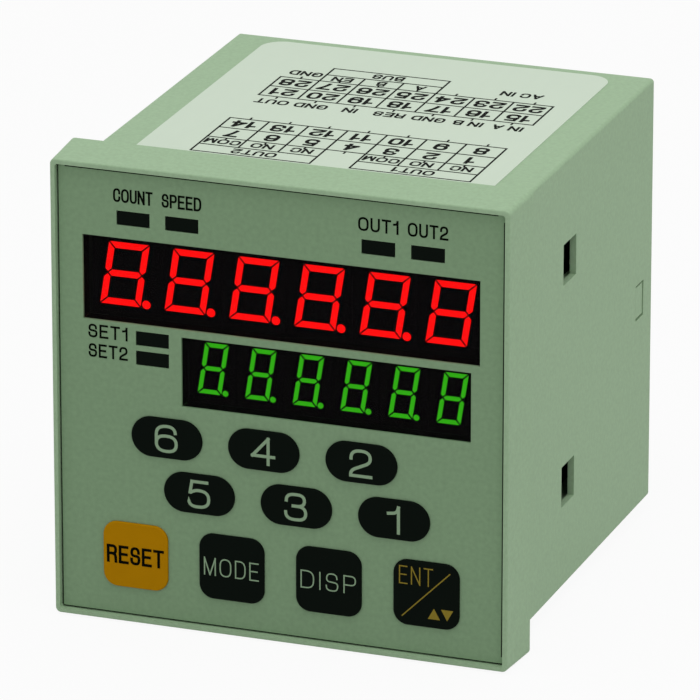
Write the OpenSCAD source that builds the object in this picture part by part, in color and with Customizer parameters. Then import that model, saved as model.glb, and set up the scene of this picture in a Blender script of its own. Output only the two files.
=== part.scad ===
// Square panel counter: a moulded case behind a front flange, a printed front film with
// two digit displays, lamps and ten keys, and screw terminals on the rear cover.
// Millimetres. X to the right, Y into the panel, Z up. The origin is the centre of the
// panel plane, which is the rear face of the flange.

/* [Flange] */
// Width and height of the flange at its rear edge
flange_w = 72; // [70:0.5:80]
// Thickness of the flange in front of the panel
flange_t = 9.2; // [8:0.1:12]
// How much each side of the flange draws in towards the front
flange_draft = 0.4; // [0.1:0.05:0.8]
// Corner radius of the flange
flange_r = 0.8; // [0.6:0.1:3]
// Rounding of the flange's front edge
flange_edge = 0.25; // [0.1:0.05:0.5]
// Width of the thin rim around the front film
rim_w = 0.75; // [0.6:0.05:1.5]
// Height of the rim above the film
rim_d = 0.8; // [0.3:0.1:1.5]
// Gap between the film and the rim
film_gap = 0.3; // [0.1:0.05:0.4]
// Corner radius of the recess for the film
recess_r = 0.45; // [0.4:0.05:1]

/* [Case] */
// Width and height of the body behind the panel
body_w = 67.5; // [66:0.1:68]
// Depth of the body behind the panel, with the rear cover
body_depth = 63.2; // [60:0.1:75]
// Corner radius along the body
body_r = 0.6; // [0.5:0.1:2]
// Wall thickness of the body
wall = 2.2; // [1.8:0.1:2.6]
// Thickness of the front wall behind the film
front_wall = 2; // [1.5:0.1:2.5]
// Length of a bracket slot along the body
slot_l = 5.9; // [5:0.1:8]
// Height of a bracket slot
slot_h = 6.4; // [5:0.1:8]
// Distance of a bracket slot's middle behind the panel
slot_y = 23.7; // [18:0.1:30]
// Distance of a bracket slot's middle from the middle of the side
slot_z = 17.5; // [14:0.1:18]
// Wall thickness around a bracket slot
slot_wall = 1; // [0.8:0.1:1.6]
// Length of the thinner wall in front of and behind a bracket slot
slot_relief_l = 4; // [2:0.5:6]
// Height of the thinner wall above and below a bracket slot
slot_relief_h = 0.7; // [0.3:0.1:0.8]

/* [Front film] */
// Thickness of the film
film_t = 0.4; // [0.2:0.05:0.6]
// Least width of film that is left beside the rows and columns on the front
film_border = 1.5; // [1:0.1:3]
// Height of the raised key fields on the film
key_emboss = 0.15; // [0.05:0.05:0.3]
// Width of an oval key
oval_w = 11.1; // [9:0.1:12]
// Height of an oval key
oval_h = 6.2; // [5:0.1:7]
// Width and height of a square key
square_key = 10.2; // [9:0.1:12]
// Corner radius of a square key
square_key_r = 2.2; // [1:0.1:3]
// Sideways shift of each oval row from the middle
oval_shift = 2.54; // [2:0.02:3]
// Distance of the outer key columns' middle from the cavity's side walls
key_edge = 8.69; // [8.4:0.01:9.6]
// Distance of the square keys' lower edge from the cavity's lower wall
square_edge = 1.25; // [0.9:0.05:2]
// Shares of the free height between the rows: lamps, red, green, ovals, ovals, squares
row_gaps = [2.1, 1.05, 2.05, 1.9, 2.9]; // [1:0.05:5]

/* [Displays] */
// Distance of the digit faces behind the film's front
display_recess = 2.9; // [2.6:0.1:5]
// Depth of a digit module
module_depth = 7.9; // [6:0.1:9]
// Depth of the segment pockets in a digit face
segment_depth = 0.3; // [0.1:0.05:0.6]
// Lean of the digits
digit_lean = 9; // [0:0.5:12]
// Distance of the red display from the cavity's side walls
red_edge = 1.07; // [1:0.01:2]
// Clearance beside the red modules in their opening
red_side_gap = 0.6; // [0.2:0.05:0.8]
// Height of a red digit module
red_module_h = 13.2; // [12:0.1:13.4]
// Height of a red digit
red_digit_h = 9.8; // [9:0.02:10.6]
// Width of a red digit
red_digit_w = 6.4; // [5:0.1:6.8]
// Thickness of a red segment
red_segment = 1; // [0.8:0.05:1.5]
// Distance of the green display from the cavity's right wall
green_edge = 2.15; // [2:0.05:4]
// Distance of the green display from the middle of the lamps beside it
green_from_lamps = 4.7; // [4.4:0.05:5.5]
// Clearance beside the green modules in their opening
green_side_gap = 0.35; // [0.2:0.05:0.8]
// Height of a green digit module
green_module_h = 10.9; // [10:0.1:11]
// Height of a green digit
green_digit_h = 8; // [7:0.02:8.2]
// Width of a green digit
green_digit_w = 3.75; // [3.6:0.05:4.8]
// Thickness of a green segment
green_segment = 0.7; // [0.6:0.05:1]
// Gap between two segments
segment_gap = 0.26; // [0.1:0.02:0.4]
// Thickness of the clear inserts in the display openings
insert_t = 1; // [0.8:0.1:1.5]
// Edge of film that laps over a clear insert
insert_lap = 0.2; // [0.15:0.05:0.5]
// Clearance of a clear insert in its opening
insert_gap = 0.05; // [0.05:0.05:0.2]

/* [Lamps] */
// Width of a lamp's face
lamp_w = 5; // [4:0.1:5.6]
// Height of a lamp's face
lamp_h = 2; // [1.6:0.1:2.2]
// Clearance of a lamp in the front wall
lamp_gap = 0.15; // [0.1:0.05:0.25]
// Distance of the upper lamps' edge from the cavity's upper wall
lamp_edge = 3.15; // [2.4:0.05:3.4]
// Distance of the two side lamps' middle from the cavity's left wall
lamp_side_edge = 11.55; // [11:0.05:12]
// Drop of the upper side lamp's middle below the green display's upper edge
lamp_side_drop = 1; // [0.7:0.05:1.2]
// Gap between the feet of the two side lamps
lamp_side_gap = 0.45; // [0.3:0.05:0.8]

/* [Key switches] */
// Width of a key switch
switch_w = 6; // [5.4:0.1:6.2]
// Height of a key switch above its board
switch_h = 3.5; // [3:0.1:4.5]
// Diameter of a switch's plunger
plunger_d = 3.5; // [2.6:0.1:3.6]
// Travel of a plunger
plunger_travel = 0.25; // [0.2:0.05:0.4]
// Running clearance around a plunger in its switch
plunger_fit = 0.08; // [0.03:0.01:0.1]
// Clearance around a plunger in the front wall
plunger_gap = 0.5; // [0.3:0.05:0.7]

/* [Boards] */
// Thickness of the circuit boards
board_t = 1.6; // [1.2:0.1:2]
// Clearance of the boards to the case
board_gap = 0.3; // [0.2:0.05:0.5]
// Distance of the fixing posts' middle from the cavity's walls
post_edge = 2.95; // [2.6:0.05:3.1]
// Diameter of a fixing post
post_d = 4.4; // [4:0.1:4.6]
// Diameter of the board screws
screw_d = 2; // [1.6:0.1:2.2]
// Height of the power board's and logic board's middle from the case's middle
deck_z = 24; // [23.5:0.1:25]

/* [Rear cover] */
// Thickness of the rear cover's plate
cover_t = 1.25; // [1:0.05:2]
// Length of the rear cover's skirt inside the case
skirt_l = 7; // [6:0.1:8]
// Thickness of the skirt
skirt_t = 1.5; // [1.2:0.1:2]
// Clearance of the skirt in the case
skirt_gap = 0.15; // [0.1:0.05:0.3]
// Height of a catch
catch_h = 5; // [4:0.1:7]
// Length of a catch along the body
catch_l = 3; // [2.5:0.1:3.5]
// Distance of a catch's rear edge from the rear end
catch_place = 4.2; // [3.8:0.1:4.6]
// Line that shows around a catch
catch_gap = 0.35; // [0.15:0.05:0.4]

/* [Terminals] */
// Number of terminals in a row
terminal_count = 7; // [5:1:7]
// Distance between neighbouring terminals
terminal_pitch = 8.2; // [8:0.1:8.4]
// Thickness of the walls between terminals
barrier_t = 1.4; // [1:0.1:1.6]
// Height of those walls above a terminal's seat
barrier_h = 5.2; // [5:0.1:6.5]
// Length of one terminal bay
bay_l = 10.8; // [10.6:0.1:11.2]
// Height of the outer row's seat above the rear cover
low_seat = 2.5; // [2:0.1:3]
// Height of the inner row's seat above the rear cover
high_seat = 6.5; // [6:0.1:8]
// Distance of a terminal block from the middle of the rear
block_z = 4.5; // [4:0.1:5]
// Thickness of a terminal plate
plate_t = 0.8; // [0.6:0.1:1]
// Diameter of the terminal screws
terminal_screw_d = 3; // [2.5:0.1:3]
// Diameter of a terminal screw's head
terminal_head_d = 5.4; // [5:0.1:5.6]
// Height of a terminal screw's head
terminal_head_h = 2; // [1.6:0.1:2.2]
// Diameter of a terminal's pin
pin_d = 1.2; // [0.8:0.1:1.3]

/* [Top label] */
// Width of the label
label_w = 56; // [50:0.5:60]
// Radius of the label's corners
label_r = 3.5; // [1:0.5:5]
// Thickness of the label
label_t = 0.12; // [0.1:0.01:0.2]
// Distance of the label from the flange
label_front = 2.4; // [1:0.1:8]
// Distance of the label from the rear end
label_rear = 1.8; // [1.6:0.1:3]

/* [Hidden] */
$fn = 48;

// How far a cut runs past the face that it opens
over = 1;

// Levels along Y, from the front of the rim to the rear end
front_y = -flange_t;
film_front_y = front_y + rim_d;
film_back_y = film_front_y + film_t;
wall_back_y = film_back_y + front_wall;
digit_face_y = film_front_y + display_recess;
board_y = digit_face_y + module_depth;
board_back_y = board_y + board_t;
cover_y = body_depth - cover_t;
skirt_y = cover_y - skirt_l;
terminal_board_y = skirt_y - board_t;

// Widths worked out from the flange and the body
flange_front_w = flange_w - 2 * flange_draft;
recess_w = flange_front_w - 2 * rim_w;
film_w = recess_w - 2 * film_gap;
film_r = recess_r - film_gap;
cavity_w = body_w - 2 * wall;
front_room = min(cavity_w, film_w - 2 * film_border);
board_w = cavity_w - 2 * board_gap;
skirt_w = cavity_w - 2 * skirt_gap;
post_place = cavity_w / 2 - post_edge;
label_l = body_depth - label_front - label_rear;

// Heights of the rows, which share out what is free between the lamps and the lower wall
row_h = [lamp_h, red_module_h, green_module_h, oval_h, oval_h, square_key];
function total(list, n) = n == 0 ? 0 : list[n - 1] + total(list, n - 1);
rows_free = front_room - lamp_edge - square_edge - total(row_h, len(row_h));
row_gap = rows_free / total(row_gaps, len(row_gaps));
function row_z(i) =
    front_room / 2 - lamp_edge - total(row_h, i) - row_h[i] / 2 - row_gap * total(row_gaps, i);
lamp_row_z = row_z(0);
red_z = row_z(1);
green_z = row_z(2);
oval_upper_z = row_z(3);
oval_lower_z = row_z(4);
square_z = row_z(5);

// Columns of the keys and lamps
key_pitch = (front_room / 2 - key_edge) / 1.5;
lamp_side_x = lamp_side_edge - front_room / 2;

// Display openings, in the front wall around the modules' faces
digit_count = 6;
module_gap = 0.06;
opening_gap = 0.15;
red_pitch = (front_room - 2 * red_edge) / digit_count;
green_left = lamp_side_x + green_from_lamps;
green_right = front_room / 2 - green_edge;
green_pitch = (green_right - green_left) / digit_count;
green_x = (green_left + green_right) / 2;
red_opening_w = digit_count * red_pitch + 2 * red_side_gap;
red_opening_h = red_module_h + 2 * opening_gap;
green_opening_w = digit_count * green_pitch + 2 * green_side_gap;
green_opening_h = green_module_h + 2 * opening_gap;
opening_r = 0.3;
dot_offset = 0.85;
dot_share = 1.35;

// Lamp places: the outer and inner pairs above, and the two beside the green display
lamp_foot = 0.3;
lamp_foot_h = 1.5;
lamp_r = 0.2;
lamp_inner_x = key_pitch;
lamp_outer_x = 1.5 * key_pitch;
lamp_side_z = green_z + green_module_h / 2 - lamp_side_drop;
lamp_side_step = lamp_h + 2 * lamp_foot + lamp_side_gap;
lamp_places = [
    [-lamp_outer_x, lamp_row_z],
    [-lamp_inner_x, lamp_row_z],
    [lamp_inner_x, lamp_row_z],
    [lamp_outer_x, lamp_row_z],
    [lamp_side_x, lamp_side_z],
    [lamp_side_x, lamp_side_z - lamp_side_step]
];
lamp_count = len(lamp_places);

// Key places: three ovals in each oval row, then the four square keys
oval_places = [
    for (row = [0, 1], i = [-1, 0, 1])
        [i * key_pitch + (row == 0 ? -oval_shift : oval_shift), row == 0 ? oval_upper_z : oval_lower_z]
];
square_places = [for (i = [-1.5, -0.5, 0.5, 1.5]) [i * key_pitch, square_z]];
key_places = concat(oval_places, square_places);
key_count = len(key_places);

// Key switch details
switch_r = 0.3;
plunger_seat = 1.5;
plunger_front_gap = 0.1;
plunger_end_gap = 0.15;
film_key_gap = 0.1;

// Board rails, connectors and screws
rail_depth = 1.8;
rail_h = 5;
rail_front = 3;
rail_rear_gap = 0.3;
connector_l = 34;
connector_depth = 6;
connector_h = 6;
connector_grip = 3.5;
deck_y = board_back_y + connector_depth - connector_grip;
deck_rear_y = terminal_board_y - board_gap;
rail_slot_depth = 1.2;
deck_w = cavity_w - 2 * (rail_depth - rail_slot_depth) - 2 * board_gap;
screw_head_d = 3.8;
screw_head_h = 1.4;
screw_l = 6;
screw_fit = 0.05;
screw_pilot_extra = 0.5;
screw_slot = [2.3, 0.7, 0.6];

// Parts on the boards, in two rows behind the edge connector
part_gap = 1;
part_edge = 1.25;
connector_y = board_back_y + connector_depth;
rail_inner_x = cavity_w / 2 - rail_depth;
core_size = [29, 16, 24];
core_leg = 5;
coil_gap = 0.2;
coil_wall = 3.4;
coil_r = 1;
coil_l = core_size[1] + 2 * (coil_gap + coil_wall);
core_place = [part_edge + core_size[0] / 2 - rail_inner_x, connector_y + part_gap + coil_l / 2];
relay_size = [20.5, 10.4, 15.6];
relay_y = connector_y + 2 * part_gap + coil_l + relay_size[1] / 2;
relay_places = [for (side = [-1, 1]) [side * (relay_size[0] + part_gap) / 2, relay_y]];
relay_r = 0.6;
capacitor_d = 12.5;
capacitor_h = 20;
capacitor_groove = 0.6;
capacitor_foot = 2;
capacitor_place = [
    core_place[0] + (core_size[0] + capacitor_d) / 2 + 4 * part_gap,
    connector_y + part_gap + capacitor_d / 2
];
chip_size = [18, 8, 2.4];
chip_place = [0, (deck_y + deck_rear_y) / 2];
chip_leads = 14;
chip_lead_pitch = 1.27;
chip_lead_w = 0.45;
chip_lead_l = 1.4;
chip_lead_t = 0.3;
chip_lead_lap = 0.1;

// Terminal places
back_wall_t = 1.4;
block_w = terminal_count * terminal_pitch + barrier_t;
bay_z = [block_z + back_wall_t, block_z + back_wall_t + bay_l];
seat_h = [high_seat, low_seat];
block_end_z = bay_z[1] + bay_l;
screw_from_bay = 3.4;
plate_gap = 0.2;
plate_w = terminal_pitch - barrier_t - 2 * plate_gap;
plate_l = 9;
plate_from_bay = 0.3;
pin_from_bay = 0.9;
pin_gap = 0.1;
pin_out = 1;
shank_l = 4.2;
shank_gap = 0.1;
shank_floor = 0.6;
shank_end_gap = 0.3;
catch_inset = 0.1;
washer_t = 0.6;
washer_w = 5.8;
cross_w = 0.9;
cross_l = 3.4;
cross_d = 1;

// Colours
sage = [0.64, 0.73, 0.62];
film_green = [0.42, 0.51, 0.4];
near_black = [0.06, 0.07, 0.06];
smoke = [0.1, 0.02, 0.02, 0.5];
board_green = [0.1, 0.32, 0.18];
steel = [0.75, 0.76, 0.75];
pale_label = [0.86, 0.9, 0.85];
red_module = [0.7, 0.05, 0.05];
green_module = [0.1, 0.5, 0.1];
ivory = [0.85, 0.84, 0.8];
iron = [0.35, 0.36, 0.38];
copper = [0.78, 0.6, 0.25];
relay_grey = [0.2, 0.2, 0.22];
can_blue = [0.16, 0.2, 0.32];
block_grey = [0.2, 0.22, 0.2];
brass = [0.8, 0.7, 0.4];

// A rounded rectangle around the origin
module rounded(w, h, r) {
    square([w, h - 2 * r], center = true);
    square([w - 2 * r, h], center = true);
    for (x = [-1, 1], y = [-1, 1])
        translate([x * (w / 2 - r), y * (h / 2 - r)])
            circle(r);
}

// The flat shape drawn in X and Z, from one level along Y to another
module layer(from_y, to_y) {
    translate([0, to_y, 0])
        rotate([90, 0, 0])
            linear_extrude(to_y - from_y)
                children();
}

// A round bar along Y at a place on the front
module bar(d, from_y, to_y, place = [0, 0]) {
    translate([place[0], to_y, place[1]])
        rotate([90, 0, 0])
            cylinder(d = d, h = to_y - from_y);
}

// The case

// Flange with drafted sides and a rounded front edge
module flange_block() {
    sliver = 0.01;
    hull() {
        layer(-sliver, 0)
            rounded(flange_w, flange_w, flange_r, $fn = 32);
        for (angle = [0:22.5:90]) {
            inset = flange_edge * (1 - cos(angle));
            level = front_y + flange_edge * (1 - sin(angle));
            layer(level, level + sliver)
                rounded(flange_front_w - 2 * inset, flange_front_w - 2 * inset, flange_r - inset, $fn = 32);
        }
    }
}

// Openings of the front wall for displays, lamps and plungers
module front_openings() {
    layer(film_back_y - over, wall_back_y + over) {
        translate([0, red_z])
            rounded(red_opening_w, red_opening_h, opening_r);
        translate([green_x, green_z])
            rounded(green_opening_w, green_opening_h, opening_r);
        for (place = lamp_places)
            translate(place)
                square([lamp_w + 2 * lamp_gap, lamp_h + 2 * lamp_gap], center = true);
    }
    for (place = key_places)
        bar(plunger_d + 2 * plunger_gap, film_back_y - over, wall_back_y + over, place);
}

// Bracket slots, with a thinner wall around them, and catch windows in both side walls
module side_openings() {
    for (side = [-1, 1]) {
        for (z = [-slot_z, slot_z]) {
            translate([side * (body_w / 2 - wall / 2), slot_y, z])
                cube([wall + 2 * over, slot_l, slot_h], center = true);
            translate([side * (cavity_w / 2 + (wall - slot_wall - over) / 2), slot_y, z])
                cube(
                    [wall - slot_wall + over, slot_l + 2 * slot_relief_l, slot_h + 2 * slot_relief_h],
                    center = true
                );
        }
        translate([side * (body_w / 2 - wall / 2), body_depth - catch_place - catch_l / 2, 0])
            cube([wall + 2 * over, catch_l + 2 * catch_gap, catch_h + 2 * catch_gap], center = true);
    }
}

// Slotted rails that hold the power board and the logic board
module board_rails() {
    rail_y = board_back_y + rail_front;
    rail_l = terminal_board_y - rail_rear_gap - rail_y;
    for (side = [-1, 1], z = [-deck_z, deck_z])
        difference() {
            translate([side * (cavity_w / 2 - rail_depth / 2), rail_y + rail_l / 2, z])
                cube([rail_depth, rail_l, rail_h], center = true);
            translate([side * (cavity_w / 2 - rail_depth), rail_y + rail_l / 2, z])
                cube([2 * rail_slot_depth, rail_l + 2 * over, board_t + board_gap], center = true);
        }
}

// Posts behind the front wall that carry the display board
module board_posts() {
    for (x = [-post_place, post_place], z = [-post_place, post_place])
        difference() {
            bar(post_d, wall_back_y, board_y, [x, z]);
            bar(
                screw_d + 2 * screw_fit,
                board_back_y - screw_l - screw_pilot_extra,
                board_y + over,
                [x, z]
            );
        }
}

module case() {
    color(sage)
        union() {
            difference() {
                union() {
                    flange_block();
                    layer(0, cover_y)
                        rounded(body_w, body_w, body_r);
                }
                layer(front_y - over, film_back_y)
                    rounded(recess_w, recess_w, recess_r);
                layer(wall_back_y, cover_y + over)
                    rounded(cavity_w, cavity_w, body_r);
                front_openings();
                side_openings();
            }
            board_posts();
            board_rails();
        }
}

// The front film and what shows through it

// A flat bar with round ends around the origin
module oval(w, h) {
    square([w - h, h], center = true);
    for (side = [-1, 1])
        translate([side * (w - h) / 2, 0])
            circle(d = h);
}

module key_fields() {
    for (place = oval_places)
        translate(place)
            oval(oval_w, oval_h);
    for (place = square_places)
        translate(place)
            rounded(square_key, square_key, square_key_r);
}

module front_overlay() {
    color(film_green)
        union() {
            difference() {
                layer(film_front_y, film_back_y)
                    rounded(film_w, film_w, film_r);
                layer(film_front_y - over, film_back_y + over) {
                    translate([0, red_z])
                        square(
                            [red_opening_w - 2 * insert_lap, red_opening_h - 2 * insert_lap],
                            center = true
                        );
                    translate([green_x, green_z])
                        square(
                            [green_opening_w - 2 * insert_lap, green_opening_h - 2 * insert_lap],
                            center = true
                        );
                    for (place = lamp_places)
                        translate(place)
                            square([lamp_w + 2 * film_key_gap, lamp_h + 2 * film_key_gap], center = true);
                }
            }
            layer(film_front_y - key_emboss, film_front_y)
                key_fields();
        }
}

// A clear insert behind the film, in an opening of the front wall
module window_insert(w, h) {
    color(smoke)
        layer(film_back_y, film_back_y + insert_t)
            rounded(w - 2 * insert_gap, h - 2 * insert_gap, opening_r);
}

module red_window() {
    translate([0, 0, red_z])
        window_insert(red_opening_w, red_opening_h);
}

module green_window() {
    translate([green_x, 0, green_z])
        window_insert(green_opening_w, green_opening_h);
}

// A point of an upright digit, leaned to the right
function lean(p) = [p[0] + p[1] * tan(digit_lean), p[1]];

// A segment's outline, mirrored into place and leaned
module segment(points, x, z) {
    polygon([for (p = points) lean([x * p[0], z * p[1]])]);
}

// The seven segments and the point of a digit of width w, height h and segment thickness t
module digit_face(w, h, t) {
    x = w / 2;
    z = h / 2;
    g = segment_gap / 2;
    flat = [
        [-x + g, z],
        [x - g, z],
        [x - t - g, z - t],
        [-x + t + g, z - t]
    ];
    upright = [
        [-x, z - g],
        [-x + t, z - t - g],
        [-x + t, t / 2 + g],
        [-x + t / 2, g],
        [-x, t / 2 + g]
    ];
    middle = [
        [-x + t / 2 + g, 0],
        [-x + t + g, t / 2],
        [x - t - g, t / 2],
        [x - t / 2 - g, 0],
        [x - t - g, -t / 2],
        [-x + t + g, -t / 2]
    ];
    for (side = [-1, 1])
        segment(flat, 1, side);
    for (side_x = [-1, 1], side_z = [-1, 1])
        segment(upright, side_x, side_z);
    segment(middle, 1, 1);
    translate(lean([x + t * dot_offset, -z + t / 2]))
        circle(d = t * dot_share);
}

// A digit module with its segments let into the face
module digit_module(pitch, body_h, w, h, t) {
    difference() {
        layer(digit_face_y, board_y)
            square([pitch - module_gap, body_h], center = true);
        layer(digit_face_y - over, digit_face_y + segment_depth)
            digit_face(w, h, t);
    }
}

module red_digit(i) {
    color(red_module)
        translate([(i - (digit_count + 1) / 2) * red_pitch, 0, red_z])
            digit_module(red_pitch, red_module_h, red_digit_w, red_digit_h, red_segment);
}

module green_digit(i) {
    color(green_module)
        translate([green_x + (i - (digit_count + 1) / 2) * green_pitch, 0, green_z])
            digit_module(green_pitch, green_module_h, green_digit_w, green_digit_h, green_segment);
}

// A rectangular lamp with a wider foot on the display board
module indicator_lamp(i) {
    color(near_black)
        translate([lamp_places[i - 1][0], 0, lamp_places[i - 1][1]])
            union() {
                layer(film_front_y, board_y)
                    rounded(lamp_w, lamp_h, lamp_r);
                layer(board_y - lamp_foot_h, board_y)
                    rounded(lamp_w + 2 * lamp_foot, lamp_h + 2 * lamp_foot, lamp_r);
            }
}

// Key switches: a body with a guide bore, and the plunger that moves in it

module key_switch(i) {
    place = key_places[i - 1];
    color(near_black)
        difference() {
            translate([place[0], 0, place[1]])
                layer(board_y - switch_h, board_y)
                    rounded(switch_w, switch_w, switch_r);
            bar(
                plunger_d + 2 * plunger_fit,
                board_y - switch_h - over,
                board_y - switch_h + plunger_seat + plunger_travel + plunger_end_gap,
                place
            );
        }
}

module key_plunger(i) {
    place = key_places[i - 1];
    color(ivory)
        bar(plunger_d, film_back_y + plunger_front_gap, board_y - switch_h + plunger_seat, place);
}

// Boards

module display_board() {
    color(board_green)
        difference() {
            layer(board_y, board_back_y)
                rounded(board_w, board_w, body_r);
            for (x = [-post_place, post_place], z = [-post_place, post_place])
                bar(screw_d + 4 * screw_fit, board_y - over, board_back_y + over, [x, z]);
        }
}

module board_screws() {
    color(steel)
        for (x = [-post_place, post_place], z = [-post_place, post_place])
            difference() {
                union() {
                    bar(screw_head_d, board_back_y, board_back_y + screw_head_h, [x, z]);
                    bar(screw_d, board_back_y - screw_l, board_back_y, [x, z]);
                }
                translate([x, board_back_y + screw_head_h, z])
                    cube([screw_slot[0], 2 * screw_slot[1], screw_slot[2]], center = true);
            }
}

// A board that lies flat in the rails
module deck(z) {
    color(board_green)
        translate([-deck_w / 2, deck_y, z - board_t / 2])
            cube([deck_w, deck_rear_y - deck_y, board_t]);
}

module power_board() {
    deck(-deck_z);
}

module logic_board() {
    deck(deck_z);
}

// Edge connectors on the display board that grip the two flat boards
module board_connectors() {
    color(near_black)
        for (z = [-deck_z, deck_z])
            difference() {
                translate([0, board_back_y + connector_depth / 2, z])
                    cube([connector_l, connector_depth, connector_h], center = true);
                translate([0, deck_y + connector_depth / 2, z])
                    cube([connector_l + 2 * over, connector_depth, board_t], center = true);
            }
}

// Parts on the power board and the logic board

// Laminated core with two openings for the winding
module transformer_core() {
    opening = (core_size[0] - 3 * core_leg) / 2;
    color(iron)
        translate([core_place[0], core_place[1], -deck_z + board_t / 2 + core_size[2] / 2])
            difference() {
                cube(core_size, center = true);
                for (side = [-1, 1])
                    translate([side * (core_leg + opening) / 2, 0, 0])
                        cube([opening, core_size[1] + 2 * over, core_size[2] - 2 * core_leg], center = true);
            }
}

// Winding around the core's middle leg
module transformer_coil() {
    opening = (core_size[0] - 3 * core_leg) / 2;
    inner_w = core_leg + 2 * coil_gap;
    outer_w = core_leg + 2 * (opening - coil_gap);
    color(copper)
        translate([
            core_place[0],
            core_place[1],
            -deck_z + board_t / 2 + core_leg + coil_gap
        ])
            linear_extrude(core_size[2] - 2 * core_leg - 2 * coil_gap)
                difference() {
                    rounded(outer_w, coil_l, coil_r);
                    square([inner_w, coil_l - 2 * coil_wall], center = true);
                }
}

module output_relay(i) {
    color(relay_grey)
        translate([relay_places[i - 1][0], relay_places[i - 1][1], -deck_z + board_t / 2])
            linear_extrude(relay_size[2])
                rounded(relay_size[0], relay_size[1], relay_r);
}

// Capacitor can with a rolled groove near its foot
module main_capacitor() {
    r = capacitor_d / 2;
    groove = capacitor_groove;
    foot = capacitor_foot;
    color(can_blue)
        translate([capacitor_place[0], capacitor_place[1], -deck_z + board_t / 2])
            rotate_extrude()
                polygon([
                    [0, 0],
                    [r, 0],
                    [r, foot],
                    [r - groove, foot + groove],
                    [r - groove, foot + 2 * groove],
                    [r, foot + 3 * groove],
                    [r, capacitor_h - groove],
                    [r - groove, capacitor_h],
                    [0, capacitor_h]
                ]);
}

// Chip with a row of leads along both long sides, under the logic board
module processor_chip() {
    top = deck_z - board_t / 2;
    color(near_black)
        translate([chip_place[0], chip_place[1], top])
            union() {
                translate([0, 0, -chip_size[2] / 2 - chip_lead_t])
                    cube(chip_size, center = true);
                for (side = [-1, 1], i = [0:chip_leads - 1])
                    translate([
                        (i - (chip_leads - 1) / 2) * chip_lead_pitch,
                        side * (chip_size[1] / 2 + chip_lead_l / 2 - chip_lead_lap),
                        -chip_lead_t
                    ])
                        cube([chip_lead_w, chip_lead_l, 2 * chip_lead_t], center = true);
            }
}

// Board across the rear that takes the terminals' pins
module terminal_board() {
    color(board_green)
        difference() {
            layer(terminal_board_y, skirt_y)
                rounded(board_w, board_w, body_r);
            terminal_pin_holes(terminal_board_y - over, skirt_y + over);
        }
}

// Rear cover and terminals

// Places of all terminals as [x, sign of z, row], row 0 being the inner one
terminal_places = [
    for (side = [1, -1], row = [0, 1], i = [0:terminal_count - 1])
        [(i - (terminal_count - 1) / 2) * terminal_pitch, side, row]
];

function pin_place(t) = [t[0], t[1] * (bay_z[t[2]] + pin_from_bay)];
function screw_place(t) = [t[0], t[1] * (bay_z[t[2]] + screw_from_bay)];
function seat_y(t) = body_depth + seat_h[t[2]];
function shank_hole_y(t) = max(seat_y(t) - shank_l, body_depth + shank_floor);

module terminal_pin_holes(from_y, to_y) {
    for (t = terminal_places)
        bar(pin_d + 2 * pin_gap, from_y, to_y, pin_place(t));
}

module rear_cover() {
    catch_out = body_w / 2 - catch_inset;
    color(sage)
        difference() {
            union() {
                layer(cover_y, body_depth)
                    rounded(body_w, body_w, body_r);
                layer(skirt_y, cover_y)
                    difference() {
                        rounded(skirt_w, skirt_w, body_r);
                        rounded(skirt_w - 2 * skirt_t, skirt_w - 2 * skirt_t, body_r);
                    }
                for (side = [-1, 1])
                    translate([
                        side * (catch_out + skirt_w / 2 - skirt_t / 2) / 2,
                        body_depth - catch_place - catch_l / 2,
                        0
                    ])
                        cube([catch_out - skirt_w / 2 + skirt_t / 2, catch_l, catch_h], center = true);
            }
            terminal_pin_holes(cover_y - over, body_depth + over);
        }
}

// Outline of a terminal block in Y and Z: two steps, raised by h where walls stand
function block_outline(h) = [
    [0, block_z],
    [high_seat + h, block_z],
    [high_seat + h, bay_z[1]],
    [low_seat + h, bay_z[1]],
    [low_seat + h, block_end_z],
    [0, block_end_z]
];

// The stepped outline at the middle of the rear, w wide
module block_slice(w, h) {
    translate([-w / 2, body_depth, 0])
        rotate([90, 0, 90])
            linear_extrude(w)
                polygon(block_outline(h));
}

// The upper terminal block: stepped base, walls between the bays and a back wall
module terminal_block() {
    difference() {
        union() {
            block_slice(block_w, 0);
            for (i = [0:terminal_count])
                translate([(i - terminal_count / 2) * terminal_pitch, 0, 0])
                    block_slice(barrier_t, barrier_h);
            translate([-block_w / 2, body_depth, block_z])
                cube([block_w, high_seat + barrier_h, back_wall_t]);
        }
        for (t = terminal_places)
            if (t[1] == 1) {
                bar(pin_d + 2 * pin_gap, body_depth - over, seat_y(t) + over, pin_place(t));
                bar(
                    terminal_screw_d + 2 * shank_gap,
                    shank_hole_y(t),
                    seat_y(t) + over,
                    screw_place(t)
                );
            }
    }
}

module upper_terminal_block() {
    color(block_grey)
        terminal_block();
}

module lower_terminal_block() {
    color(block_grey)
        mirror([0, 0, 1])
            terminal_block();
}

// Plates on the seats, each with a pin down to the terminal board
module terminal_plates() {
    color(brass)
        for (t = terminal_places)
            difference() {
                union() {
                    translate([
                        t[0] - plate_w / 2,
                        seat_y(t),
                        t[1] * (bay_z[t[2]] + plate_from_bay + plate_l / 2) - plate_l / 2
                    ])
                        cube([plate_w, plate_t, plate_l]);
                    bar(pin_d, terminal_board_y - pin_out, seat_y(t) + plate_t / 2, pin_place(t));
                }
                bar(
                    terminal_screw_d + 2 * shank_gap,
                    seat_y(t) - over,
                    seat_y(t) + plate_t + over,
                    screw_place(t)
                );
            }
}

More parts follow.
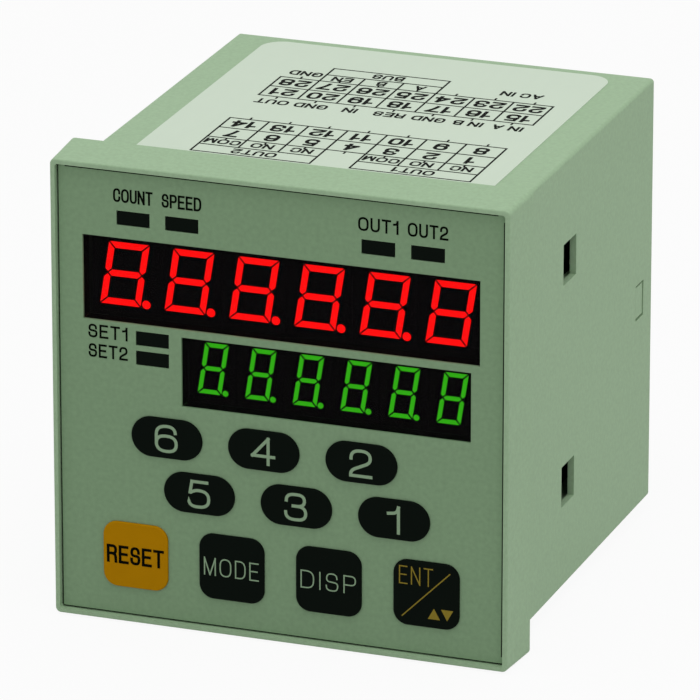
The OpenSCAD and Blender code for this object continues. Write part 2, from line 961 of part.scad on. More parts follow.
// Terminal screws with square washers and crossed recesses
module terminal_screws() {
    color(steel)
        for (t = terminal_places) {
            place = screw_place(t);
            top = seat_y(t) + plate_t;
            difference() {
                union() {
                    translate([place[0], top + washer_t / 2, place[1]])
                        cube([washer_w, washer_t, washer_w], center = true);
                    bar(terminal_head_d, top + washer_t, top + washer_t + terminal_head_h, place);
                    bar(terminal_screw_d, shank_hole_y(t) + shank_end_gap, top + washer_t, place);
                }
                translate([place[0], top + washer_t + terminal_head_h, place[1]]) {
                    cube([cross_l, 2 * cross_d, cross_w], center = true);
                    cube([cross_w, 2 * cross_d, cross_l], center = true);
                }
            }
        }
}

// The label on top of the body
module top_label() {
    color(pale_label)
        translate([0, body_depth - label_rear - label_l / 2, body_w / 2])
            linear_extrude(label_t)
                rounded(label_w, label_l, label_r);
}

case();
front_overlay();
red_window();
green_window();
top_label();
for (i = [1:digit_count]) {
    red_digit(i);
    green_digit(i);
}
for (i = [1:lamp_count])
    indicator_lamp(i);
for (i = [1:key_count]) {
    key_switch(i);
    key_plunger(i);
}
display_board();
board_screws();
power_board();
logic_board();
board_connectors();
terminal_board();
transformer_core();
transformer_coil();
main_capacitor();
for (i = [1, 2])
    output_relay(i);
processor_chip();
rear_cover();
upper_terminal_block();
lower_terminal_block();
terminal_plates();
terminal_screws();
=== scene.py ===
"""Panel counter: finishes, key pads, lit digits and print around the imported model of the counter.

Metres. X to the right, Y into the panel, Z up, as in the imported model. The front faces -Y.
"""

import math

import bmesh
import bpy
from mathutils import Matrix, Vector


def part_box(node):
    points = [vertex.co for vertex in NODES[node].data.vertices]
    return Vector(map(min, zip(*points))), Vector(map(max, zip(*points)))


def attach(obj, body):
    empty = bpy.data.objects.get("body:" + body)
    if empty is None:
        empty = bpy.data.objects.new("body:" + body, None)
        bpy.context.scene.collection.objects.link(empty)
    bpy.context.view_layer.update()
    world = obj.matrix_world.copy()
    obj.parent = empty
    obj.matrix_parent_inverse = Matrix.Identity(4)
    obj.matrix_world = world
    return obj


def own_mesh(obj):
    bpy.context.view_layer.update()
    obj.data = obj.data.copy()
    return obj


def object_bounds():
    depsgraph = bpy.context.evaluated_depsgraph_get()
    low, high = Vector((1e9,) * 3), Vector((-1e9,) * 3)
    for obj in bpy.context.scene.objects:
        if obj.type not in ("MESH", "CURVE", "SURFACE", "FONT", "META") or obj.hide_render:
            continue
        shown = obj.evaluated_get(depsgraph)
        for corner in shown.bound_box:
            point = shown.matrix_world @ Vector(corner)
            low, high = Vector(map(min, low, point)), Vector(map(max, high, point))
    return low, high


bl_info = {
    "name": "Panel counter",
    "version": (1, 0, 0),
    "blender": (4, 5, 0),
    "location": "View3D > Sidebar > Counter",
    "description": "Finishes, key pads, lit digits and print of a square panel counter",
    "category": "Object",
}

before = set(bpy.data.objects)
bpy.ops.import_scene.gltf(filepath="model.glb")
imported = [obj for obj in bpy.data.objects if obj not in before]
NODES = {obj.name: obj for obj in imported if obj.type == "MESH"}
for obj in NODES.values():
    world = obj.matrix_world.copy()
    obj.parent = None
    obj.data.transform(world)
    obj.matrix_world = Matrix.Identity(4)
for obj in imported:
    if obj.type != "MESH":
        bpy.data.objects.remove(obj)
CAD_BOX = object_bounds()
ROOT = "counter"
MM = 0.001
# Room left between a thin piece and what it lies against
CLEARANCE = 0.01 * MM
# The film's face, which is level with the faces of the lamps
FILM_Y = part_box("indicator_lamp_1")[0].y

# The keys in the order of their plungers: body of the key, and the legend on its pad
OVAL_KEYS = (
    ("six_key", "6"),
    ("four_key", "4"),
    ("two_key", "2"),
    ("five_key", "5"),
    ("three_key", "3"),
    ("one_key", "1"),
)
SQUARE_KEYS = (
    ("reset_key", "RESET"),
    ("mode_key", "MODE"),
    ("display_key", "DISP"),
    ("enter_key", "ENT"),
)
LAMP_WORDS = ("COUNT", "SPEED", "OUT1", "OUT2", "SET1", "SET2")
LAMPS_ABOVE = 4
DIGITS = 6

# The label's two tables: their columns, and the lines across them from the label's front edge
COLUMNS = 7
FRONT_LINES = [y * MM for y in (4.1, 7.5, 11.1, 15.7, 20.6)]
REAR_LINES = [y * MM for y in (32.5, 37.3, 42.1, 45.3, 48.6)]
# Words beside the tables by columns, which are counted along X
OUTPUTS = ((0, "OUT2"), (4, "OUT1"))
CONTACTS = ("COM", "NO", "NC")
BUS_COLUMN = 1
BUS_WORDS = ("EN", "B", "A")
SUPPLY_COLUMN = 5.5
INPUT_WORDS = ("OUT", "GND", "IN", "RES", "GND", "IN B", "IN A")

# Letters as strokes on a height of 100: corners "x,y", or "x,y,radius" where a corner is rounded
LETTER_HEIGHT = 100
LETTER_GAP = 36
SPACE = 40
# Steps along a rounded corner, the shortest step that is kept, and the limit on the spread of a bend
CORNER_STEPS = 6
SHORTEST_STEP = 0.01
MITRE_LIMIT = 0.5
# Each stroke of a letter starts a little above the one before and climbs a hair along its way
STROKE_LEVEL = 0.01 * MM
STROKE_CLIMB = 0.0002 * MM
STROKES = {
    "A": "0,0 38,100 / 38,100 76,0 / 13,34 63,34",
    "B": "0,0 0,100 / 0,100 58,100,23 58,54,23 0,54 / 0,54 66,54,27 66,0,27 0,0",
    "C": "70,68 70,100,30 0,100,36 0,0,36 70,0,30 70,32",
    "D": "0,0 0,100 / 0,100 70,100,42 70,0,42 0,0",
    "E": "0,0 0,100 / 0,100 60,100 / 0,52 54,52 / 0,0 62,0",
    "G": "70,69 70,100,30 0,100,36 0,0,36 72,0,32 72,46 / 72,46 42,46",
    "I": "0,0 0,100",
    "M": "0,0 0,100 / 0,100 40,0 / 40,0 80,100 / 80,100 80,0",
    "N": "0,0 0,100 / 0,100 68,0 / 68,0 68,100",
    "O": "39,100 0,100,39 0,0,39 78,0,39 78,100,39 39,100",
    "P": "0,0 0,100 / 0,100 64,100,26 64,47,26 0,47",
    "R": "0,0 0,100 / 0,100 64,100,24 64,51,24 0,51 / 34,51 62,47,18 66,0",
    "S": "60,72 60,100,28 2,100,28 2,54,18 64,48,18 64,0,28 0,0,28 0,29",
    "T": "0,100 68,100 / 34,0 34,100",
    "U": "0,100 0,0,34 68,0,34 68,100",
    "0": "31,100 0,100,31 0,0,31 62,0,31 62,100,31 31,100",
    "1": "0,74 26,78,12 32,100 / 32,100 32,0",
    "2": "1,68 1,100,30 62,100,28 62,56,16 0,20,16 0,0 / 0,0 64,0",
    "3": "2,74 2,100,26 60,100,23 60,54,23 24,54 / 24,54 64,54,27 64,0,27 0,0,27 0,27",
    "4": "50,0 50,100 / 50,100 0,30 / 0,30 68,30",
    "5": "58,100 10,100 / 10,100 4,56 / 8,57 20,66,12 64,66,32 64,0,32 0,0,26 0,23",
    "6": "61,76 59,100,24 0,100,34 0,0,32 64,0,30 64,61,30 0,61,30 0,30",
    "7": "0,100 62,100 / 62,100 32,55,40 20,0",
    "8": (
        "32,100 3,100,23 3,54,23 61,54,23 61,100,23 32,100 /"
        " 32,54 0,54,27 0,0,27 64,0,27 64,54,27 32,54"
    ),
    "9": "3,24 5,0,24 64,0,34 64,100,32 0,100,30 0,39,30 64,39,30 64,70",
}


def linear(code):
    """Linear colour of an sRGB hex value."""
    parts = [int(code[i : i + 2], 16) / 255 for i in (1, 3, 5)]
    return tuple(c / 12.92 if c <= 0.04045 else ((c + 0.055) / 1.055) ** 2.4 for c in parts)


def length(name, millimetres, description):
    """A size that a user may change, given in millimetres and kept in metres."""
    return bpy.props.FloatProperty(
        name=name, description=description, default=millimetres * MM, unit="LENGTH", precision=5
    )


def share(name, value, description):
    """A factor or a strength that a user may change."""
    return bpy.props.FloatProperty(name=name, description=description, default=value, min=0)


def colour(name, code, description):
    """A colour that a user may change."""
    return bpy.props.FloatVectorProperty(
        name=name, description=description, default=linear(code), subtype="COLOR", min=0, max=1
    )


class CounterSizes(bpy.types.PropertyGroup):
    """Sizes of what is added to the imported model."""

    pad_raise: length("Key raise", 0.38, "Height of a key pad above the film")
    pad_lap: length("Key lap", 0.03, "How far a pad laps over its raised field on the film")
    pad_edge: length("Key edge", 0.22, "Rounding of a pad's edge")
    pad_pressed: share("Pressed share", 0.5, "Share of a pad's height that is left when it is pressed")
    oval_w: length("Oval width", 11.1, "Width of an oval key")
    oval_h: length("Oval height", 6.2, "Height of an oval key")
    square_w: length("Square width", 10.2, "Width of a square key")
    square_r: length("Square corner", 2.2, "Corner radius of a square key")
    print_t: length("Print thickness", 0.02, "Thickness of printed ink")
    number_h: length("Key number height", 4.4, "Height of the number on an oval key")
    number_stroke: length("Key number stroke", 0.48, "Stroke of the number on an oval key")
    number_stretch: share("Key number stretch", 1.25, "Width of a key number against its plain width")
    word_h: length("Key word height", 2.85, "Height of the word on a square key")
    word_w: length("Key word width", 8.7, "Width of the word on a square key")
    word_stroke: length("Key word stroke", 0.2, "Stroke of the word on a black key")
    reset_w: length("Reset word width", 9.1, "Width of the word on the reset key")
    reset_stroke: length("Reset word stroke", 0.43, "Stroke of the word on the reset key")
    enter_w: length("Enter word width", 5.3, "Width of the word on the enter key")
    enter_stroke: length("Enter stroke", 0.18, "Stroke of the legend on the enter key")
    enter_left: length("Enter word left", 1.55, "Distance of the enter key's word left of its middle")
    enter_up: length("Enter word up", 2.75, "Distance of the enter key's word above its middle")
    slash_reach: length("Slash reach", 3.75, "Reach of the enter key's slash from its middle")
    mark_half: length("Mark half width", 0.95, "Half the width of an up or down mark")
    mark_top: length("Mark top", 2.0, "Top of the marks below the enter key's middle")
    mark_bottom: length("Mark bottom", 3.7, "Bottom of the marks below the enter key's middle")
    up_right: length("Up mark right", 1.25, "Distance of the up mark right of the key's middle")
    down_right: length("Down mark right", 3.3, "Distance of the down mark right of the key's middle")
    lamp_word_h: length("Lamp word height", 2.1, "Height of the word beside a lamp")
    lamp_word_w: length("Lamp word width", 6.2, "Width of the word beside a lamp")
    lamp_word_stroke: length("Lamp word stroke", 0.31, "Stroke of the word beside a lamp")
    lamp_word_gap: length("Lamp word gap", 1.1, "Gap between a lamp and its word")
    side_word_lift: length("Side word lift", 0.35, "How far a word beside a lamp sits above its middle")
    # Painted shade: a dark line in the gap between the film and the rim
    glue_w: length("Gap shade width", 0.26, "Width of the painted shade in the gap around the film")
    glue_t: length("Gap shade thickness", 0.05, "Thickness of the painted shade in the gap around the film")
    # Painted shadow of the rim on the film's upper and right edges
    creep_w: length("Rim shadow width", 0.14, "Width of the rim's painted shadow on the film's upper and right edge")
    creep_end: length("Creep end", 1.0, "Distance of the rim's painted shadow from the film's corners")
    lean: bpy.props.FloatProperty(
        name="Digit lean",
        description="Lean of the digits",
        default=math.radians(9),
        subtype="ANGLE",
    )
    segment_gap: length("Segment gap", 0.34, "Gap between two lit segments")
    segment_t: length("Segment depth", 0.28, "Depth of a lit segment in its pocket")
    segment_rim: length("Segment rim", 0.02, "How far a lit segment stays inside its pocket's edge")
    shield_t: length("Shield thickness", 0.03, "Thickness of the black shield around a window")
    dot_share: share("Point size", 1.35, "Diameter of a point against the thickness of a segment")
    dot_offset: share("Point offset", 0.85, "Distance of a point from its digit, in segment widths")
    red_w: length("Red digit width", 6.4, "Width of a red digit")
    red_h: length("Red digit height", 9.8, "Height of a red digit")
    red_bar: length("Red segment", 1.0, "Thickness of a red segment")
    green_w: length("Green digit width", 3.75, "Width of a green digit")
    green_h: length("Green digit height", 8.0, "Height of a green digit")
    green_bar: length("Green segment", 0.7, "Thickness of a green segment")
    label_margin: length("Label margin", 8.4, "Distance of the label's tables from its left edge")
    table_line: length("Table line", 0.3, "Width of the lines of the label's table")
    tick: length("Tick", 1.0, "Length of a tick between a table and a word")
    word_off: length("Table word distance", 2.6, "Distance of a single word from its table")
    supply_off: length("Supply word distance", 3.6, "Distance of the supply word from its table")
    cell_w: length("Table cell width", 6.23, "Width of a cell of the label's table")
    cell_number_h: length("Table number height", 3.1, "Height of a terminal's number")
    cell_number_stroke: length("Table number stroke", 0.58, "Stroke of a terminal's number")
    cell_word_h: length("Table word height", 2.1, "Height of a word in the label's table")
    cell_word_stroke: length("Table word stroke", 0.38, "Stroke of a word in the label's table")


class CounterColours(bpy.types.PropertyGroup):
    """Colours and light of the finishes."""

    case: colour("Case", "#9EBA97", "Moulded case")
    film: colour("Film", "#829F7C", "Printed front film")
    black: colour("Black print", "#070E09", "Black key fields")
    amber: colour("Amber print", "#B47F00", "Amber key field")
    pale_ink: colour("Pale ink", "#8EA889", "Legends on the black keys")
    amber_ink: colour("Amber ink", "#8E7C2E", "Legend on the enter key")
    dark_ink: colour("Dark ink", "#030602", "Legends on the film and the label")
    label: colour("Label", "#CEDDCA", "Label on top of the case")
    red_lit: colour("Red light", "#FF0A0A", "Lit red segments")
    red_power: share("Red power", 6.6, "Strength of the light of red segments")
    green_lit: colour("Green light", "#2EA312", "Lit green segments")
    green_power: share("Green power", 6.4, "Strength of the light of green segments")
    smoke: colour("Smoked window", "#0A0809", "Inserts in front of the digits")
    smoke_density: share("Smoke density", 0.6, "Share of light that a face of an insert holds back")
    lens: colour("Lamp lens", "#080F0A", "Lamps that are not lit")
    terminal: colour("Terminal block", "#2B312B", "Terminal blocks")


# Sockets of a Mix node that mixes colours: its two colours and its result
MIX_FIRST = 6
MIX_SECOND = 7
MIX_RESULT = 2


def add(tree, kind, inputs=None, **settings):
    """Adds a node with its settings, and sets or links its inputs by name or index."""
    made = tree.nodes.new(kind)
    for name, value in settings.items():
        setattr(made, name, value)
    for socket, value in (inputs or {}).items():
        if isinstance(value, bpy.types.NodeSocket):
            tree.links.new(value, made.inputs[socket])
        else:
            made.inputs[socket].default_value = value
    return made


def finish_of(name, base, **sockets):
    """A material with one shader: its base colour, and values set on the shader's own sockets."""
    material = bpy.data.materials.new(name)
    material.use_nodes = True
    tree = material.node_tree
    shader = tree.nodes["Principled BSDF"]
    shader.inputs["Base Color"].default_value = (*base, 1)
    for socket, value in sockets.items():
        shader.inputs[socket.replace("_", " ")].default_value = value
    return material, tree, shader


def grain(tree, shader, size, height, stretch=(1, 1, 1)):
    """A fine surface grain of that size and height in metres; gives back its Mapping node."""
    place = add(tree, "ShaderNodeTexCoord")
    mapping = add(tree, "ShaderNodeMapping", {"Vector": place.outputs["Object"], "Scale": stretch})
    noise = add(
        tree,
        "ShaderNodeTexNoise",
        {"Vector": mapping.outputs["Vector"], "Scale": 1 / size, "Detail": 3.0},
    )
    bump = add(
        tree,
        "ShaderNodeBump",
        {"Height": noise.outputs["Fac"], "Distance": height, "Strength": 0.6},
    )
    tree.links.new(bump.outputs["Normal"], shader.inputs["Normal"])
    return mapping


def mottle(tree, shader, mapping, base, size, depth):
    """Faint patches of another tone in the base colour, of that size in metres."""
    noise = add(
        tree,
        "ShaderNodeTexNoise",
        {"Vector": mapping.outputs["Vector"], "Scale": 1 / size, "Detail": 2.0},
    )
    tone = add(
        tree,
        "ShaderNodeMix",
        {
            "Factor": noise.outputs["Fac"],
            MIX_FIRST: (*[c * (1 - depth) for c in base], 1),
            MIX_SECOND: (*[c * (1 + depth) for c in base], 1),
        },
        data_type="RGBA",
    )
    tree.links.new(tone.outputs[MIX_RESULT], shader.inputs["Base Color"])


def grained(name, base, surface, patches, stretch=(1, 1, 1), **sockets):
    """A finish with a grain (size, height) and faint patches of another tone (size, depth).

    Both are drawn a little coarser than on the real surface, where they would be too fine to show.
    """
    material, tree, shader = finish_of(name, base, **sockets)
    mapping = grain(tree, shader, *surface, stretch)
    mottle(tree, shader, mapping, base, *patches)
    return material


def dress(material, *nodes):
    """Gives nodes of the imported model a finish."""
    for name in nodes:
        for slot in NODES[name].material_slots:
            slot.material = material


def piece(name, mesh):
    """A finished mesh as a piece of the object, which stays with the counter."""
    made = bpy.data.objects.new(name, mesh)
    bpy.context.scene.collection.objects.link(made)
    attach(made, ROOT)
    return made


def evaluated(made):
    """A plain mesh of what an object's modifiers give; the object goes."""
    graph = bpy.context.evaluated_depsgraph_get()
    mesh = bpy.data.meshes.new_from_object(made.evaluated_get(graph), depsgraph=graph)
    bpy.data.objects.remove(made)
    return mesh


def joined(name, meshes):
    """One mesh of several, with their materials."""
    whole = bmesh.new()
    materials = []
    for mesh in meshes:
        first = len(whole.faces)
        whole.from_mesh(mesh)
        whole.faces.ensure_lookup_table()
        for face in whole.faces[first:]:
            material = mesh.materials[face.material_index]
            if material not in materials:
                materials.append(material)
            face.material_index = materials.index(material)
        bpy.data.meshes.remove(mesh)
    made = bpy.data.meshes.new(name)
    whole.to_mesh(made)
    whole.free()
    for material in materials:
        made.materials.append(material)
    return made


# Matrices from a flat drawing, x to the right and y up, to where it is printed
def on_front(x, y, z):
    """Facing -Y at a point."""
    return Matrix(((1, 0, 0, x), (0, 0, -1, y), (0, 1, 0, z), (0, 0, 0, 1)))


def on_top(x, y, z):
    """Facing up at a point, to be read from behind."""
    return Matrix(((-1, 0, 0, x), (0, -1, 0, y), (0, 0, 1, z), (0, 0, 0, 1)))


def front_middle(low, high):
    """The middle of a box as it is seen from the front: x and z."""
    return (low.x + high.x) / 2, (low.z + high.z) / 2


def stroke_points(stroke):
    """Points along a letter's stroke, with its rounded corners drawn as curves."""
    corners = [[float(number) for number in corner.split(",")] for corner in stroke.split()]
    points = []
    for i, (x, y, *radius) in enumerate(corners):
        corner = Vector((x, y))
        if not radius:
            points.append(corner)
            continue
        legs = [Vector(other[:2]) - corner for other in (corners[i - 1], corners[i + 1])]
        start, end = [corner + leg.normalized() * radius[0] for leg in legs]
        for k in range(CORNER_STEPS + 1):
            t = k / CORNER_STEPS
            points.append(start.lerp(corner, t).lerp(corner.lerp(end, t), t))
    return [
        point
        for i, point in enumerate(points)
        if i == 0 or (point - points[i - 1]).length > SHORTEST_STEP
    ]


def add_ribbon(shape, points, half, level):
    """Adds a strip along points, of that half width and with square ends, climbing from a level.

    The climb keeps strokes that cross each other or themselves out of one plane.
    """
    steps = [(b - a).normalized() for a, b in zip(points, points[1:])]
    points = [points[0] - steps[0] * half] + points[1:-1] + [points[-1] + steps[-1] * half]
    sides = []
    for i, point in enumerate(points):
        after = steps[min(i, len(steps) - 1)]
        way = (steps[max(i - 1, 0)] + after).normalized()
        across = Vector((-way.y, way.x)) * half / max(way.dot(after), MITRE_LIMIT)
        z = level + i * STROKE_CLIMB
        sides.append([shape.verts.new((*(point + across * side), z)) for side in (1, -1)])
    for (a, b), (d, c) in zip(sides, sides[1:]):
        shape.faces.new((a, b, c, d))


def lettering(words, finish, thickness, height, stroke, width=None, stretch=1.0):
    """Printed words around the origin, facing +Z, with one stroke width all over."""
    paths = []
    end = 0
    for letter in words:
        if letter == " ":
            end += SPACE
            continue
        drawn = [stroke_points(part) for part in STROKES[letter].split("/")]
        paths += [(k, [point + Vector((end, 0)) for point in part]) for k, part in enumerate(drawn)]
        end += max(point.x for part in drawn for point in part) + LETTER_GAP
    total = end - LETTER_GAP
    tall = (height - stroke) / LETTER_HEIGHT
    wide = (width - stroke) / total if width else tall * stretch
    shape = bmesh.new()
    for k, path in paths:
        scaled = [Vector(((x - total / 2) * wide, (y - LETTER_HEIGHT / 2) * tall)) for x, y in path]
        add_ribbon(shape, scaled, stroke / 2, k * STROKE_LEVEL)
    mesh = bpy.data.meshes.new("lettering")
    shape.to_mesh(mesh)
    shape.free()
    return raised("lettering", mesh, thickness, finish)


def flat_shape(name, outlines):
    """Flat faces facing +Z from outlines of (x, y) points."""
    shape = bmesh.new()
    for outline in outlines:
        face = shape.faces.new([shape.verts.new((x, y, 0)) for x, y in outline])
        face.normal_update()
        if face.normal.z < 0:
            face.normal_flip()
    mesh = bpy.data.meshes.new(name)
    shape.to_mesh(mesh)
    shape.free()
    return mesh


def flat_frame(low, high, loose, band):
    """Four flat bars around a box as it is seen from the front, a little loose around it."""
    x = (high.x - low.x) / 2 + loose
    y = (high.z - low.z) / 2 + loose
    level = [(-x - band, y), (x + band, y), (x + band, y + band), (-x - band, y + band)]
    upright = [(x, -y), (x + band, -y), (x + band, y), (x, y)]
    bars = [[(px, side * py) for px, py in level] for side in (1, -1)]
    bars += [[(side * px, py) for px, py in upright] for side in (1, -1)]
    return flat_shape("frame", bars)


def flat_edges(low, high, end, band):
    """Flat bars inside the upper and the right edge of a box as it is seen from the front."""
    x = (high.x - low.x) / 2
    y = (high.z - low.z) / 2
    upper = [(end - x, y - band), (x - end, y - band), (x - end, y), (end - x, y)]
    right = [(x - band, end - y), (x, end - y), (x, y - end), (x - band, y - end)]
    return flat_shape("edges", [upper, right])


# Geometry Nodes

# Steps of a rounded edge, and the least angle between two faces that gets one
EDGE_SEGMENTS = 5
EDGE_ANGLE = math.radians(60)
# Points that lie closer than this are merged
SEAM_GAP = 0.00005 * MM
# Points on a rounded corner of a pad
PAD_CORNER_POINTS = 14


def new_tree(name, **inputs):
    """An empty tree with named inputs, which are given by their kind of socket."""
    tree = bpy.data.node_groups.new(name, "GeometryNodeTree")
    tree.interface.new_socket("Geometry", in_out="INPUT", socket_type="NodeSocketGeometry")
    for socket, kind in inputs.items():
        tree.interface.new_socket(
            socket.replace("_", " "), in_out="INPUT", socket_type="NodeSocket" + kind
        )
    tree.interface.new_socket("Geometry", in_out="OUTPUT", socket_type="NodeSocketGeometry")
    return tree, add(tree, "NodeGroupInput").outputs


def end_tree(tree, geometry, material):
    """Ends a tree: instances made real, and their finish."""
    real = add(tree, "GeometryNodeRealizeInstances", {"Geometry": geometry})
    dressed = add(
        tree,
        "GeometryNodeSetMaterial",
        {"Geometry": real.outputs["Geometry"], "Material": material},
    )
    add(tree, "NodeGroupOutput", {"Geometry": dressed.outputs["Geometry"]})
    return tree


def grown(name, tree, base=None, bevel=0.0, **values):
    """The mesh that a tree gives for its inputs, with rounded edges where asked."""
    made = bpy.data.objects.new(name, base or bpy.data.meshes.new(name))
    modifier = made.modifiers.new(name, "NODES")
    modifier.node_group = tree
    for item in tree.interface.items_tree:
        key = item.name.replace(" ", "_")
        if item.in_out == "INPUT" and key in values:
            modifier[item.identifier] = values[key]
    if bevel:
        rounding = made.modifiers.new("Edge", "BEVEL")
        rounding.width = bevel
        rounding.segments = EDGE_SEGMENTS
        rounding.limit_method = "ANGLE"
        rounding.angle_limit = EDGE_ANGLE
    seam = made.modifiers.new("Seam", "WELD")
    seam.merge_threshold = SEAM_GAP
    bpy.context.scene.collection.objects.link(made)
    return evaluated(made)


def closed_body(tree, face, height):
    """Nodes that raise a face by a height and keep a face below it."""
    sides = add(
        tree,
        "GeometryNodeExtrudeMesh",
        {"Mesh": face, "Offset Scale": height, "Individual": False},
    )
    under = add(tree, "GeometryNodeFlipFaces", {"Mesh": face})
    both = add(tree, "GeometryNodeJoinGeometry", {"Geometry": sides.outputs["Mesh"]})
    tree.links.new(under.outputs["Mesh"], both.inputs["Geometry"])
    return both.outputs["Geometry"]


def key_pad_tree():
    """A pad with round corners, raised from its outline."""
    tree, given = new_tree(
        "Key pad", Width="Float", Height="Float", Corner="Float", Raise="Float", Finish="Material"
    )
    outline = add(
        tree,
        "GeometryNodeCurvePrimitiveQuadrilateral",
        {"Width": given["Width"], "Height": given["Height"]},
    )
    rounded = add(
        tree,
        "GeometryNodeFilletCurve",
        {
            "Curve": outline.outputs["Curve"],
            "Radius": given["Corner"],
            "Count": PAD_CORNER_POINTS,
            "Limit Radius": True,
        },
        mode="POLY",
    )
    face = add(tree, "GeometryNodeFillCurve", {"Curve": rounded.outputs["Curve"]}, mode="NGONS")
    pad = closed_body(tree, face.outputs["Mesh"], given["Raise"])
    return end_tree(tree, pad, given["Finish"])


def row_tree():
    """Copies of a flat shape in a row from the origin, each raised by a thickness."""
    tree, given = new_tree("Row", Count="Int", Pitch="Float", Thickness="Float", Finish="Material")
    solid = closed_body(tree, given["Geometry"], given["Thickness"])
    step = add(tree, "ShaderNodeCombineXYZ", {"X": given["Pitch"]})
    line = add(
        tree,
        "GeometryNodeMeshLine",
        {"Count": given["Count"], "Offset": step.outputs["Vector"]},
    )
    copies = add(
        tree,
        "GeometryNodeInstanceOnPoints",
        {"Points": line.outputs["Mesh"], "Instance": solid},
    )
    return end_tree(tree, copies.outputs["Instances"], given["Finish"])


def raised(name, flat, thickness, finish, count=1, pitch=0.0):
    """A flat mesh raised by a thickness, and repeated in a row from the origin."""
    tree = bpy.data.node_groups.get("Row") or row_tree()
    return grown(name, tree, flat, Count=count, Pitch=pitch, Thickness=thickness, Finish=finish)


def table_tree():
    """The lines of a ruled table around the origin."""
    tree, given = new_tree(
        "Ruled table",
        Width="Float",
        Depth="Float",
        Columns="Int",
        Rows="Int",
        Line="Float",
        Thickness="Float",
        Finish="Material",
    )
    both = add(tree, "GeometryNodeJoinGeometry")
    for long, wide, count, axis in (
        ("Width", "Depth", "Rows", "Y"),
        ("Depth", "Width", "Columns", "X"),
    ):
        full = add(tree, "ShaderNodeMath", {0: given[long], 1: given["Line"]}, operation="ADD")
        sizes = {"X": full.outputs[0], "Y": given["Line"], "Z": given["Thickness"]}
        if axis == "X":
            sizes = {"X": given["Line"], "Y": full.outputs[0], "Z": given["Thickness"]}
        bar = add(
            tree,
            "GeometryNodeMeshCube",
            {"Size": add(tree, "ShaderNodeCombineXYZ", sizes).outputs["Vector"]},
        )
        count_lines = add(tree, "ShaderNodeMath", {0: given[count], 1: 1.0}, operation="ADD")
        start = add(tree, "ShaderNodeMath", {0: given[wide], 1: -0.5}, operation="MULTIPLY")
        step = add(tree, "ShaderNodeMath", {0: given[wide], 1: given[count]}, operation="DIVIDE")
        places = add(
            tree,
            "GeometryNodeMeshLine",
            {
                "Count": count_lines.outputs[0],
                "Start Location": add(
                    tree, "ShaderNodeCombineXYZ", {axis: start.outputs[0]}
                ).outputs["Vector"],
                "Offset": add(tree, "ShaderNodeCombineXYZ", {axis: step.outputs[0]}).outputs["Vector"],
            },
        )
        lines = add(
            tree,
            "GeometryNodeInstanceOnPoints",
            {"Points": places.outputs["Mesh"], "Instance": bar.outputs["Mesh"]},
        )
        tree.links.new(lines.outputs["Instances"], both.inputs["Geometry"])
    return end_tree(tree, both.outputs["Geometry"], given["Finish"])


# Finishes


def case_plastic(colours):
    """ABS moulded in a fine spark-eroded tool: matt, with a grain that breaks up highlights."""
    return grained(
        "Moulded ABS",
        colours.case,
        surface=(0.25 * MM, 0.02 * MM),
        patches=(0.6 * MM, 0.13),
        Roughness=0.55,
        Specular_IOR_Level=0.15,
    )


def front_film(colours):
    """Polyester film printed on its back: a matt pebbled face over an even colour."""
    return grained(
        "Matt polyester film",
        colours.film,
        surface=(0.18 * MM, 0.012 * MM),
        patches=(0.7 * MM, 0.13),
        Roughness=0.45,
        Specular_IOR_Level=0.15,
    )


def pad_film(name, base):
    """The same film over a key's solid print: smoother, because the pad is pressed up."""
    return grained(
        name,
        base,
        surface=(0.22 * MM, 0.01 * MM),
        patches=(3 * MM, 0.05),
        Roughness=0.45,
        Specular_IOR_Level=0.03,
    )


def ink(name, base):
    """Screen printed ink: flat, with a slight unevenness from the mesh."""
    return grained(
        name,
        base,
        surface=(0.15 * MM, 0.006 * MM),
        patches=(0.4 * MM, 0.06),
        Roughness=0.55,
        Specular_IOR_Level=0.02,
    )


def lit_segment(name, light, strength):
    """Diffusing epoxy over a light: glows evenly over its whole face."""
    unlit_share = 0.4
    unlit = [unlit_share * c for c in light]
    material, tree, shader = finish_of(
        name,
        unlit,
        Roughness=0.5,
        Specular_IOR_Level=0.1,
        Emission_Color=(*light, 1),
        Emission_Strength=strength,
    )
    grain(tree, shader, 0.3 * MM, 0.01 * MM)
    return material


def smoked_acrylic(colours):
    """Smoked clear sheet with a dull polish: the digits show through, and the rest stays dark."""
    material, tree, shader = finish_of(
        "Smoked acrylic",
        colours.smoke,
        Roughness=0.12,
        Specular_IOR_Level=0.04,
        Alpha=colours.smoke_density,
    )
    grain(tree, shader, 4 * MM, 0.01 * MM)
    return material


def moulded(name, code, roughness, shine=0.35):
    """A moulded technical plastic with a fine grain."""
    return grained(
        name,
        linear(code),
        surface=(0.3 * MM, 0.015 * MM),
        patches=(4 * MM, 0.04),
        Roughness=roughness,
        Specular_IOR_Level=shine,
    )


def terminal_nylon(colours):
    """Nylon filled with short glass fibres: dark, with a slightly rough skin."""
    return grained(
        "Glass filled nylon",
        colours.terminal,
        surface=(0.35 * MM, 0.02 * MM),
        patches=(3 * MM, 0.06),
        Roughness=0.48,
        Specular_IOR_Level=0.35,
    )


def lens_epoxy(colours):
    """Tinted epoxy over a lamp that isn't lit: nearly black, with hardly any shine."""
    return grained(
        "Tinted lens epoxy",
        colours.lens,
        surface=(0.6 * MM, 0.01 * MM),
        patches=(1.2 * MM, 0.08),
        Roughness=0.4,
        Specular_IOR_Level=0.03,
    )


def plated(name, code, roughness, stretch):
    """Plated or rolled metal with fine drawn marks along one direction."""
    return grained(
        name,
        linear(code),
        surface=(0.4 * MM, 0.008 * MM),
        patches=(1.5 * MM, 0.08),
        stretch=stretch,
        Metallic=1.0,
        Roughness=roughness,
    )


